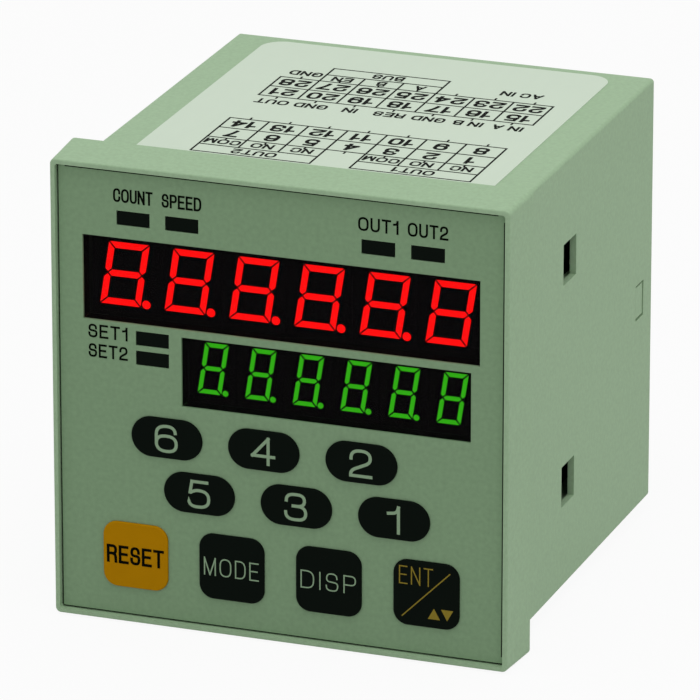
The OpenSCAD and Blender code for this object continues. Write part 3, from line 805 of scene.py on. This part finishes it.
def board_laminate():
    """Glass laminate under green lacquer: the cloth's weave shows faintly, drawn coarser to show."""
    thread = 0.9 * MM
    base = linear("#1E5A38")
    shade = 0.82
    shaded = [shade * c for c in base]
    material, tree, shader = finish_of("Glass laminate", base, Roughness=0.35, Specular_IOR_Level=0.4)
    place = add(tree, "ShaderNodeTexCoord")
    cloth = add(
        tree,
        "ShaderNodeTexChecker",
        {
            "Vector": place.outputs["Object"],
            "Scale": 1 / thread,
            "Color1": (*base, 1),
            "Color2": (*shaded, 1),
        },
    )
    bump = add(
        tree, "ShaderNodeBump", {"Height": cloth.outputs["Fac"], "Distance": 0.01 * MM, "Strength": 0.3}
    )
    tree.links.new(cloth.outputs["Color"], shader.inputs["Base Color"])
    tree.links.new(bump.outputs["Normal"], shader.inputs["Normal"])
    return material


def layered(name, code, metallic, spacing, direction):
    """Stacked sheets or wound turns, which show as fine lines at their real spacing."""
    # At a scale of 1 the bands of a wave repeat every tenth of pi
    scale = math.pi / 10 / spacing
    base = linear(code)
    shade = 0.45
    groove = [shade * c for c in base]
    material, tree, shader = finish_of(name, base, Metallic=metallic, Roughness=0.45)
    place = add(tree, "ShaderNodeTexCoord")
    lines = add(
        tree,
        "ShaderNodeTexWave",
        {"Vector": place.outputs["Object"], "Scale": scale, "Distortion": 0.4},
        bands_direction=direction,
    )
    bump = add(
        tree, "ShaderNodeBump", {"Height": lines.outputs["Fac"], "Distance": 0.06 * MM, "Strength": 0.8}
    )
    tone = add(
        tree,
        "ShaderNodeMix",
        {"Factor": lines.outputs["Fac"], MIX_FIRST: (*groove, 1), MIX_SECOND: (*base, 1)},
        data_type="RGBA",
    )
    tree.links.new(tone.outputs[MIX_RESULT], shader.inputs["Base Color"])
    tree.links.new(bump.outputs["Normal"], shader.inputs["Normal"])
    return material


def label_film(colours):
    """Polyester label film with a print coat: smooth, with faint marks along its roll."""
    return grained(
        "Coated polyester label",
        colours.label,
        surface=(0.3 * MM, 0.006 * MM),
        patches=(2 * MM, 0.015),
        stretch=(1, 0.3, 1),
        Roughness=0.55,
        Specular_IOR_Level=0.2,
    )


# Operators


class COUNTER_OT_case(bpy.types.Operator):
    """Gives the case and the rear cover their moulded finish"""

    bl_idname = "counter.case"
    bl_label = "Case"

    def execute(self, context):
        dress(case_plastic(context.scene.counter_colours), "case", "rear_cover")
        return {"FINISHED"}


class COUNTER_OT_inside(bpy.types.Operator):
    """Gives the boards, switches and parts inside their finishes"""

    bl_idname = "counter.inside"
    bl_label = "Inside"

    def execute(self, context):
        keys = range(1, len(OVAL_KEYS) + len(SQUARE_KEYS) + 1)
        dress(board_laminate(), "display_board", "power_board", "logic_board", "terminal_board")
        # Moulded plastics, dull to the eye, and a shrunk sleeve that shines a little more
        nylon = moulded("Black nylon", "#1B1D1C", roughness=0.45)
        switch = moulded("Switch nylon", "#202221", roughness=0.5)
        acetal = moulded("Ivory acetal", "#DCD9CE", roughness=0.4)
        relay = moulded("Relay polyester", "#3A3C42", roughness=0.4)
        sleeve = moulded("Capacitor sleeve", "#26345C", roughness=0.25)
        dress(nylon, "board_connectors", "processor_chip")
        dress(switch, *[f"key_switch_{i}" for i in keys])
        dress(acetal, *[f"key_plunger_{i}" for i in keys])
        dress(relay, "output_relay_1", "output_relay_2")
        dress(sleeve, "main_capacitor")
        # Sheets and turns that show as lines, and screws with a soft metal shine
        iron = layered("Stacked core iron", "#6A6C70", metallic=0.7, spacing=0.5 * MM, direction="Y")
        wire = layered(
            "Enamelled copper wire", "#B8792E", metallic=0.5, spacing=0.45 * MM, direction="Z"
        )
        steel = plated("Zinc plated steel", "#B9BCBA", roughness=0.35, stretch=(1, 6, 1))
        dress(iron, "transformer_core")
        dress(wire, "transformer_coil")
        dress(steel, "board_screws")
        return {"FINISHED"}


class COUNTER_OT_terminals(bpy.types.Operator):
    """Gives the terminal blocks, plates and screws their finishes"""

    bl_idname = "counter.terminals"
    bl_label = "Terminals"

    def execute(self, context):
        nylon = terminal_nylon(context.scene.counter_colours)
        dress(nylon, "upper_terminal_block", "lower_terminal_block")
        # Nickel looks warmer over brass than over steel
        brass = plated("Nickel plated brass", "#C9BE9C", roughness=0.3, stretch=(8, 1, 1))
        steel = plated("Nickel plated steel", "#C2C4C2", roughness=0.28, stretch=(1, 8, 1))
        dress(brass, "terminal_plates")
        dress(steel, "terminal_screws")
        return {"FINISHED"}


def lamp_words(sizes, finish):
    """The words above the upper lamps and to the left of the others."""
    words = []
    for number, word in enumerate(LAMP_WORDS, 1):
        low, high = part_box(f"indicator_lamp_{number}")
        x, z = front_middle(low, high)
        if number <= LAMPS_ABOVE:
            z = high.z + sizes.lamp_word_gap + sizes.lamp_word_h / 2
        else:
            x = low.x - sizes.lamp_word_gap - sizes.lamp_word_w / 2
            z += sizes.side_word_lift
        mesh = lettering(
            word,
            finish,
            sizes.print_t,
            sizes.lamp_word_h,
            sizes.lamp_word_stroke,
            sizes.lamp_word_w,
        )
        mesh.transform(on_front(x, FILM_Y, z))
        words.append(mesh)
    return words


def film_adhesive(sizes, finish):
    """Painted shade: a dark line in the gap around the film, and the rim's painted shadow on two of its
    edges.
    """
    low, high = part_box("front_overlay")
    x, z = front_middle(low, high)
    # Painted shade: a dark line in the gap between the film and the rim
    around = flat_frame(low, high, CLEARANCE, sizes.glue_w)
    line = raised("line", around, sizes.glue_t, finish)
    line.transform(on_front(x, high.y, z))
    # Painted shadow of the rim's lip on the film's upper and right edges
    edges = flat_edges(low, high, sizes.creep_end, sizes.creep_w)
    creep = raised("creep", edges, sizes.print_t, finish)
    creep.transform(on_front(x, FILM_Y, z))
    return [line, creep]


class COUNTER_OT_film(bpy.types.Operator):
    """Finishes the front film, prints the words beside the lamps and lays painted shade around it: a
    dark line in its gap and the rim's painted shadow on its upper and right edges
    """

    bl_idname = "counter.film"
    bl_label = "Front film"

    def execute(self, context):
        sizes = context.scene.counter_sizes
        colours = context.scene.counter_colours
        dress(front_film(colours), "front_overlay")
        words = lamp_words(sizes, ink("Dark ink", colours.dark_ink))
        piece("lamp_words", joined("lamp_words", words))
        # Painted shade: a dull black line in the gap around the film, and the rim's painted shadow on
        # its upper and right edges
        painted_shade_finish = moulded("Black painted shade", "#060906", roughness=0.7, shine=0.02)
        painted_shades = film_adhesive(sizes, painted_shade_finish)
        piece("film_adhesive", joined("film_adhesive", painted_shades))
        return {"FINISHED"}


def key_pad(tree, sizes, oval, finish):
    """A key's raised pad around the origin, with a flat face and smooth edges."""
    width = (sizes.oval_w if oval else sizes.square_w) + 2 * sizes.pad_lap
    height = (sizes.oval_h if oval else sizes.square_w) + 2 * sizes.pad_lap
    # An oval's end radius stays just under half its height, so that its two arcs don't meet
    end_share = 0.499
    pad = grown(
        "key_pad",
        tree,
        bevel=sizes.pad_edge,
        Width=width,
        Height=height,
        Corner=end_share * height if oval else sizes.square_r + sizes.pad_lap,
        Raise=sizes.pad_raise,
        Finish=finish,
    )
    # Only the face that looks straight up stays flat
    upright = 0.999
    for face in pad.polygons:
        face.use_smooth = face.normal.z < upright
    return pad


def enter_legend(legend, sizes, finish):
    """The enter key's word, a slash, and an up and a down mark."""
    word = lettering(legend, finish, sizes.print_t, sizes.word_h, sizes.enter_stroke, sizes.enter_w)
    word.transform(Matrix.Translation((-sizes.enter_left, sizes.enter_up, 0)))
    reach = sizes.slash_reach
    half = sizes.enter_stroke / 2 * math.sqrt(0.5)
    slash = [(-reach - half, -reach + half), (-reach + half, -reach - half)]
    slash += [(reach + half, reach - half), (reach - half, reach + half)]
    wide = sizes.mark_half
    low = -sizes.mark_bottom
    high = -sizes.mark_top
    up_x = sizes.up_right
    up = [(up_x - wide, low), (up_x + wide, low), (up_x, high)]
    down_x = sizes.down_right
    down = [(down_x - wide, high), (down_x, low), (down_x + wide, high)]
    return [word, raised("marks", flat_shape("marks", [slash, up, down]), sizes.print_t, finish)]


def key_print(body, legend, sizes, pale, amber, dark):
    """Meshes of a key's printed legend around the origin."""
    if body == "enter_key":
        return enter_legend(legend, sizes, amber)
    if body == "reset_key":
        finish = dark
        look = {"height": sizes.word_h, "stroke": sizes.reset_stroke, "width": sizes.reset_w}
    elif (body, legend) in SQUARE_KEYS:
        finish = pale
        look = {"height": sizes.word_h, "stroke": sizes.word_stroke, "width": sizes.word_w}
    else:
        finish = pale
        look = {
            "height": sizes.number_h,
            "stroke": sizes.number_stroke,
            "stretch": sizes.number_stretch,
        }
    return [lettering(legend, finish, sizes.print_t, **look)]


class COUNTER_OT_keys(bpy.types.Operator):
    """Makes the ten raised key pads with their printed legends"""

    bl_idname = "counter.keys"
    bl_label = "Key pads"

    def execute(self, context):
        sizes = context.scene.counter_sizes
        colours = context.scene.counter_colours
        tree = key_pad_tree()
        black_film = pad_film("Black key film", colours.black)
        amber_film = pad_film("Amber key film", colours.amber)
        pale = ink("Pale ink", colours.pale_ink)
        amber = ink("Amber ink", colours.amber_ink)
        dark = ink("Key ink", colours.dark_ink)
        for number, (body, legend) in enumerate(OVAL_KEYS + SQUARE_KEYS, 1):
            film = amber_film if body == "reset_key" else black_film
            pad = key_pad(tree, sizes, number <= len(OVAL_KEYS), film)
            print_of = key_print(body, legend, sizes, pale, amber, dark)
            for mesh in print_of:
                mesh.transform(Matrix.Translation((0, 0, sizes.pad_raise)))
            x, z = front_middle(*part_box(f"key_plunger_{number}"))
            whole = joined(body + "_pad", [pad] + print_of)
            whole.transform(on_front(x, FILM_Y, z))
            made = piece(body + "_pad", whole)
            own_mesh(made)
        return {"FINISHED"}


def digit_shapes(sizes, width, height, bar):
    """Outlines of a digit's seven segments, and of its point, leaned to the right."""
    x = width / 2
    y = height / 2
    gap = sizes.segment_gap / 2
    rim = sizes.segment_rim
    slope = math.tan(sizes.lean)
    flat = [
        (-x + gap + rim, y - rim),
        (x - gap - rim, y - rim),
        (x - bar - gap, y - bar + rim),
        (-x + bar + gap, y - bar + rim),
    ]
    upright = [
        (-x + rim, y - gap - rim),
        (-x + bar - rim, y - bar - gap),
        (-x + bar - rim, bar / 2 + gap),
        (-x + bar / 2, gap + rim),
        (-x + rim, bar / 2 + gap),
    ]
    half = [(-x + bar / 2 + gap, 0), (-x + bar + gap, bar / 2 - rim), (x - bar - gap, bar / 2 - rim)]
    middle = half + [(-px, -py) for px, py in half]
    drawn = [[(px, side * py) for px, py in flat] for side in (1, -1)]
    drawn += [[(sx * px, sy * py) for px, py in upright] for sx in (1, -1) for sy in (1, -1)]
    drawn.append(middle)
    steps = 24
    radius = bar * sizes.dot_share / 2 - rim
    centre = Vector((x + bar * sizes.dot_offset, -y + bar / 2))
    centre.x += centre.y * slope
    turns = [2 * math.pi * i / steps for i in range(steps)]
    dot = [(centre.x + radius * math.cos(t), centre.y + radius * math.sin(t)) for t in turns]
    return [[(px + py * slope, py) for px, py in outline] for outline in drawn], dot


def window_shield(name, thickness, back, finish):
    """A thin black shield between a window and its opening, as deep as the digits' face."""
    low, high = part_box(f"{name}_window")
    x, z = front_middle(low, high)
    around = flat_frame(low, high, CLEARANCE, thickness)
    mesh = raised(name + "_shield", around, back - low.y - CLEARANCE, finish)
    mesh.transform(on_front(x, back - CLEARANCE, z))
    return mesh


class COUNTER_OT_displays(bpy.types.Operator):
    """Makes the lit segments of both displays and finishes their modules and windows"""

    bl_idname = "counter.displays"
    bl_label = "Displays"

    def execute(self, context):
        sizes = context.scene.counter_sizes
        colours = context.scene.counter_colours
        # Nearly black and dull, so that only the lit segments show
        module = moulded("Black epoxy moulding", "#050505", roughness=0.6, shine=0.05)
        window = smoked_acrylic(colours)
        red = lit_segment("Red diffusing epoxy", colours.red_lit, colours.red_power)
        green = lit_segment("Green diffusing epoxy", colours.green_lit, colours.green_power)
        for name, light, width, height, bar in (
            ("red", red, sizes.red_w, sizes.red_h, sizes.red_bar),
            ("green", green, sizes.green_w, sizes.green_h, sizes.green_bar),
        ):
            dress(module, *[f"{name}_digit_{i}" for i in range(1, DIGITS + 1)])
            dress(window, f"{name}_window")
            low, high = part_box(f"{name}_digit_1")
            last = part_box(f"{name}_digit_{DIGITS}")
            pitch = (last[0].x - low.x) / (DIGITS - 1)
            segments, dot = digit_shapes(sizes, width, height, bar)
            rows = [
                raised(name + "_row", flat_shape(name, shapes), sizes.segment_t, light, count, pitch)
                for shapes, count in ((segments, DIGITS), ([dot], DIGITS - 1))
            ]
            x, z = front_middle(low, high)
            lit = joined(name + "_segments", rows)
            lit.transform(on_front(x, low.y + sizes.segment_t, z))
            piece(name + "_segments", lit)
            shield = window_shield(name, sizes.shield_t, low.y, module)
            piece(name + "_shield", shield)
        return {"FINISHED"}


class COUNTER_OT_lamps(bpy.types.Operator):
    """Gives the indicator lamps their dark lens finish"""

    bl_idname = "counter.lamps"
    bl_label = "Lamps"

    def execute(self, context):
        lens = lens_epoxy(context.scene.counter_colours)
        dress(lens, *[f"indicator_lamp_{i}" for i in range(1, len(LAMP_WORDS) + 1)])
        return {"FINISHED"}


class COUNTER_OT_label(bpy.types.Operator):
    """Finishes the top label and prints its terminal tables"""

    bl_idname = "counter.label"
    bl_label = "Top label"

    def execute(self, context):
        sizes = context.scene.counter_sizes
        colours = context.scene.counter_colours
        dress(label_film(colours), "top_label")
        dark = ink("Label ink", colours.dark_ink)
        tables = table_tree()
        low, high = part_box("top_label")
        left = low.x + sizes.label_margin
        cell = sizes.cell_w
        meshes = []

        def put(mesh, column, y, lift=0.0):
            """Lays a mesh on the label at a place in columns and a place along Y."""
            mesh.transform(on_top(left + column * cell, y, high.z + lift))
            meshes.append(mesh)

        def ruled(start, count, near, far, rows, split=True):
            """Rules a table over some columns, from one line across to another."""
            mesh = grown(
                "table",
                tables,
                Width=count * cell,
                Depth=far - near,
                Columns=count if split else 1,
                Rows=rows,
                Line=sizes.table_line,
                Thickness=sizes.print_t,
                Finish=dark,
            )
            put(mesh, start + count / 2, (near + far) / 2, sizes.print_t / 2)

        def write(text, column, y, height=sizes.cell_word_h, stroke=sizes.cell_word_stroke):
            """Writes in the middle of a column."""
            put(lettering(text, dark, sizes.print_t, height, stroke), column + 0.5, y)

        def group(start, words, title, near, line, far):
            """A row of words against a table, and their title in a field beyond it."""
            ruled(start, len(words), min(near, line), max(near, line), 1)
            ruled(start, len(words), min(line, far), max(line, far), 1, split=False)
            for i, word in enumerate(words):
                write(word, start + i, (near + line) / 2)
            write(title, start + len(words) // 2, (line + far) / 2)

        def ticks(y):
            """A tick in the middle of each column, which ends at a place along Y."""
            half = sizes.table_line / 2
            tick = [(-half, 0), (half, 0), (half, sizes.tick), (-half, sizes.tick)]
            flat = flat_shape("tick", [tick])
            put(raised("ticks", flat, sizes.print_t, dark, COLUMNS, cell), COLUMNS - 0.5, y)

        front = [low.y + line for line in FRONT_LINES]
        rear = [low.y + line for line in REAR_LINES]
        ruled(0, COLUMNS, front[2], front[4], 2)
        ruled(0, COLUMNS, rear[0], rear[2], 2)
        for start, title in OUTPUTS:
            group(start, CONTACTS, title, front[2], front[1], front[0])
        group(BUS_COLUMN, BUS_WORDS, "BUS", rear[2], rear[3], rear[4])
        write("GND", 0, rear[2] + sizes.word_off)
        write("AC IN", SUPPLY_COLUMN, rear[2] + sizes.supply_off)
        for column, word in enumerate(INPUT_WORDS):
            write(word, column, rear[0] - sizes.word_off)
        number = 0
        for near, far in (front[2:4], front[3:5], rear[0:2], rear[1:3]):
            for column in reversed(range(COLUMNS)):
                number += 1
                middle = (near + far) / 2
                write(str(number), column, middle, sizes.cell_number_h, sizes.cell_number_stroke)
        for y in (front[2], front[4] + sizes.tick, rear[0], rear[2] + sizes.tick):
            ticks(y)
        piece("label_print", joined("label_print", meshes))
        return {"FINISHED"}


def seen_directly(tree):
    """1 for camera, glossy and transmission rays, and 0 for others."""
    path = add(tree, "ShaderNodeLightPath")
    mirrored = add(
        tree,
        "ShaderNodeMath",
        {0: path.outputs["Is Camera Ray"], 1: path.outputs["Is Glossy Ray"]},
        operation="MAXIMUM",
    )
    return add(
        tree,
        "ShaderNodeMath",
        {0: mirrored.outputs[0], 1: path.outputs["Is Transmission Ray"]},
        operation="MAXIMUM",
    ).outputs[0]


def make_floor():
    """Matt paper as a floor: it shows white, with part of the shadow kept."""
    half = 2.0
    white_share = 0.93
    z = CAD_BOX[0][2]
    mesh = bpy.data.meshes.new("floor")
    corners = [(-half, -half, z), (half, -half, z), (half, half, z), (-half, half, z)]
    mesh.from_pydata(corners, [], [(0, 1, 2, 3)])
    floor = bpy.data.objects.new("floor", mesh)
    bpy.context.scene.collection.objects.link(floor)
    material, tree, shader = finish_of(
        "Matt white paper", linear("#DADADA"), Roughness=0.9, Specular_IOR_Level=0.0
    )
    white = add(tree, "ShaderNodeEmission", {"Color": (1, 1, 1, 1), "Strength": 1.0})
    part = add(
        tree, "ShaderNodeMath", {0: seen_directly(tree), 1: white_share}, operation="MULTIPLY"
    )
    both = add(
        tree,
        "ShaderNodeMixShader",
        {0: part.outputs[0], 1: shader.outputs["BSDF"], 2: white.outputs["Emission"]},
    )
    tree.links.new(both.outputs["Shader"], tree.nodes["Material Output"].inputs["Surface"])
    mesh.materials.append(material)


def make_world(scene):
    """White where it is seen, and a softer grey as light."""
    seen = 1.0
    lit = 0.6
    world = bpy.data.worlds.new("Studio")
    scene.world = world
    world.use_nodes = True
    tree = world.node_tree
    strength = add(
        tree,
        "ShaderNodeMath",
        {0: seen_directly(tree), 1: seen - lit, 2: lit},
        operation="MULTIPLY_ADD",
    )
    background = tree.nodes["Background"]
    background.inputs["Color"].default_value = (1, 1, 1, 1)
    tree.links.new(strength.outputs[0], background.inputs["Strength"])


def make_lights():
    """A large softbox above and a weak one to the right."""
    for name, place, size, power in (
        ("softbox", (0.1, -0.12, 0.75), 0.5, 2.0),
        ("fill", (0.85, 0.12, 0.3), 0.5, 0.35),
    ):
        light = bpy.data.lights.new(name, "AREA")
        light.shape = "SQUARE"
        light.size = size
        light.energy = power
        made = bpy.data.objects.new(name, light)
        made.location = place
        made.rotation_euler = (-Vector(place)).to_track_quat("-Z", "Y").to_euler()
        bpy.context.scene.collection.objects.link(made)


def make_camera(scene):
    """A long lens from the right and above."""
    azimuth = math.radians(20.085)
    elevation = math.radians(19.617)
    distance = 1.1649
    target = Vector((0.0005, 0.02, 0.0005))
    away = Vector(
        (
            math.sin(azimuth) * math.cos(elevation),
            -math.cos(azimuth) * math.cos(elevation),
            math.sin(elevation),
        )
    )
    data = bpy.data.cameras.new("camera")
    data.sensor_width = 36
    data.lens = 400.8
    data.clip_end = 20
    camera = bpy.data.objects.new("camera", data)
    camera.location = target + distance * away
    camera.rotation_euler = (-away).to_track_quat("-Z", "Y").to_euler()
    scene.collection.objects.link(camera)
    scene.camera = camera


class COUNTER_OT_stage(bpy.types.Operator):
    """Sets up the floor, the light and the camera"""

    bl_idname = "counter.stage"
    bl_label = "Stage"

    def execute(self, context):
        scene = context.scene
        scene.view_settings.view_transform = "Standard"
        make_floor()
        make_world(scene)
        make_lights()
        make_camera(scene)
        return {"FINISHED"}


class COUNTER_PT_panel(bpy.types.Panel):
    """Lists the counter's operators in the sidebar"""

    bl_idname = "COUNTER_PT_panel"
    bl_label = "Panel counter"
    bl_space_type = "VIEW_3D"
    bl_region_type = "UI"
    bl_category = "Counter"

    def draw(self, context):
        for operator in OPERATORS:
            self.layout.operator(operator.bl_idname)


OPERATORS = (
    COUNTER_OT_case,
    COUNTER_OT_inside,
    COUNTER_OT_terminals,
    COUNTER_OT_film,
    COUNTER_OT_keys,
    COUNTER_OT_displays,
    COUNTER_OT_lamps,
    COUNTER_OT_label,
    COUNTER_OT_stage,
)
CLASSES = (CounterSizes, CounterColours) + OPERATORS + (COUNTER_PT_panel,)


def register():
    """Registers the classes and gives the scene its settings."""
    for item in CLASSES:
        bpy.utils.register_class(item)
    bpy.types.Scene.counter_sizes = bpy.props.PointerProperty(type=CounterSizes)
    bpy.types.Scene.counter_colours = bpy.props.PointerProperty(type=CounterColours)


def unregister():
    """Takes the settings and the classes away again."""
    del bpy.types.Scene.counter_colours
    del bpy.types.Scene.counter_sizes
    for item in reversed(CLASSES):
        bpy.utils.unregister_class(item)


def main():
    """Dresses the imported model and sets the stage."""
    register()
    bpy.ops.counter.case()
    bpy.ops.counter.inside()
    bpy.ops.counter.terminals()
    bpy.ops.counter.film()
    bpy.ops.counter.keys()
    bpy.ops.counter.displays()
    bpy.ops.counter.lamps()
    bpy.ops.counter.label()
    bpy.ops.counter.stage()


if __name__ == "__main__":
    main()
